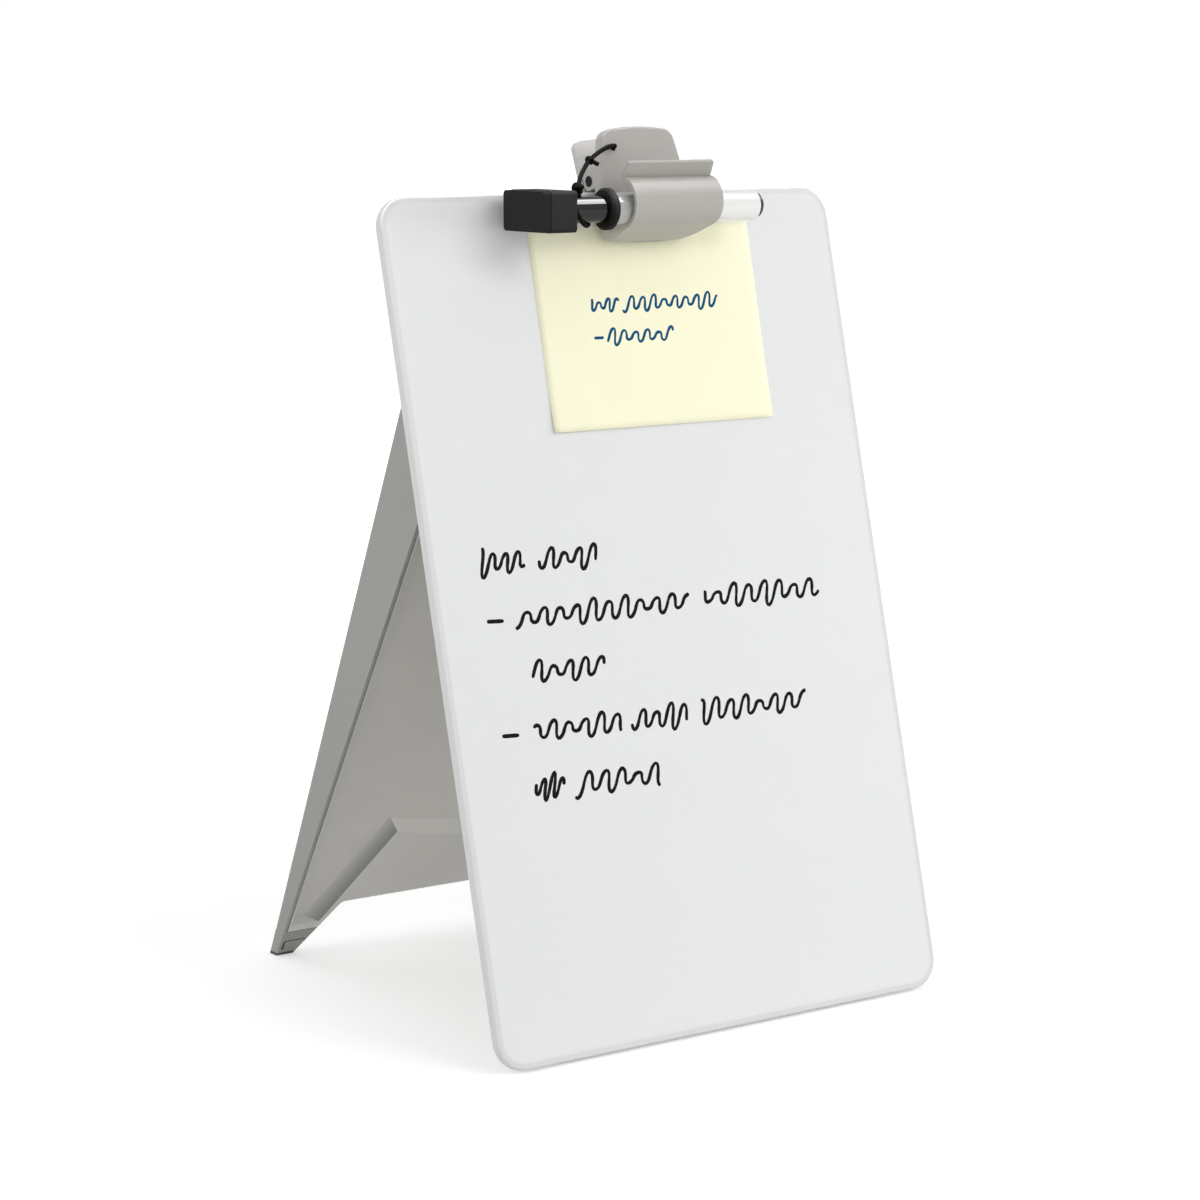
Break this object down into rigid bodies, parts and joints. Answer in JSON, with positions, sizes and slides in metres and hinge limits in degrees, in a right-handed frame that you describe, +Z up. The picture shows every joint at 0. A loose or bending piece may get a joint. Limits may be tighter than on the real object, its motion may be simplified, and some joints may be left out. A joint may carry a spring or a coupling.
{
  "type": "desk whiteboard easel",
  "caption": "Small free-standing glass writing board on a folding leg, with a spring clip that holds a capped marker with an eraser on a short tether, and a memo note under its jaw.",
  "frame": {"origin": "middle of the flat underside of the rubber strip that the board stands on", "axes": "+Z up from the desk; +X to the right as seen from in front of the board; +Y towards the back, where the leg stands"},
  "size_m": [0.205, 0.1949, 0.3314],
  "materials": {
    "board_glass": "gloss, white backed",
    "bond_film": "white adhesive film",
    "backing_steel": "satin white coating",
    "black_rubber": "matte",
    "foam_tape": "matte foam",
    "bracket_steel": "brushed",
    "pin_steel": "satin",
    "leg_plastic": "fine matte texture",
    "clip_plastic": "satin",
    "grey_rubber": "matte",
    "spring_steel": "drawn wire",
    "pen_white": "gloss",
    "pen_black": "satin",
    "cap_black": "gloss",
    "ink_felt": "ink soaked fibre",
    "eraser_black": "matte",
    "eraser_felt": "dense felt",
    "cord_black": "waxed twisted cord",
    "note_paper": "uncoated paper"
  },
  "bodies": {
    "board": {"glass_panel": "board_glass", "bonding_film": "bond_film", "steel_backing": "backing_steel", "base_strip": "black_rubber", "bracket_tape_left": "foam_tape", "bracket_tape_right": "foam_tape", "hinge_bracket_left": "bracket_steel", "hinge_bracket_right": "bracket_steel", "hinge_pin_left": "pin_steel", "hinge_pin_right": "pin_steel", "memo_note": "note_paper"},
    "leg": {"leg_shell": "leg_plastic", "leg_inner_cover": "leg_plastic", "leg_screws": "pin_steel", "foot_boot_left": "leg_plastic", "foot_boot_right": "leg_plastic", "foot_sole_left": "black_rubber", "foot_sole_right": "black_rubber"},
    "clip_back": {"clip_rear_jaw": "clip_plastic", "clip_rear_pad": "grey_rubber", "clip_pivot_pin": "pin_steel", "clip_spring": "spring_steel"},
    "clip_front": {"clip_front_jaw": "clip_plastic", "clip_front_pad": "grey_rubber", "marker_cap": "cap_black", "cap_ring": "cap_black", "eraser_block": "eraser_black", "eraser_felt": "eraser_felt", "tether_cord": "cord_black", "tether_loop": "cord_black", "tether_knot": "cord_black", "tether_stop_knot": "cord_black"},
    "marker": {"marker_barrel": "pen_white", "marker_end_plug": "pen_black", "marker_grip": "pen_black", "marker_nib": "ink_felt", "ink_reservoir": "ink_felt"}
  },
  "joints": [
    {"name": "leg_fold", "type": "hinge", "parent": "board", "child": "leg", "pos_m": [0, 0.06051, 0.21862], "axis": [-1, 0, 0], "range_deg": [0, 44]},
    {"name": "clip_slide", "type": "slide", "parent": "board", "child": "clip_back", "axis": [1, 0, 0], "range_m": [-0.08, 0.06]},
    {"name": "clip_open", "type": "hinge", "parent": "clip_back", "child": "clip_front", "pos_m": [0.0105, 0.07494, 0.31132], "axis": [-1, 0, 0], "range_deg": [0, 24], "stiffness_Nm_per_rad": 0.15, "springref_deg": -28.65, "deforming": ["clip_spring"]},
    {"name": "marker_draw", "type": "slide", "parent": "clip_front", "child": "marker", "axis": [1, 0, 0], "range_m": [0, 0.11]}
  ]
}
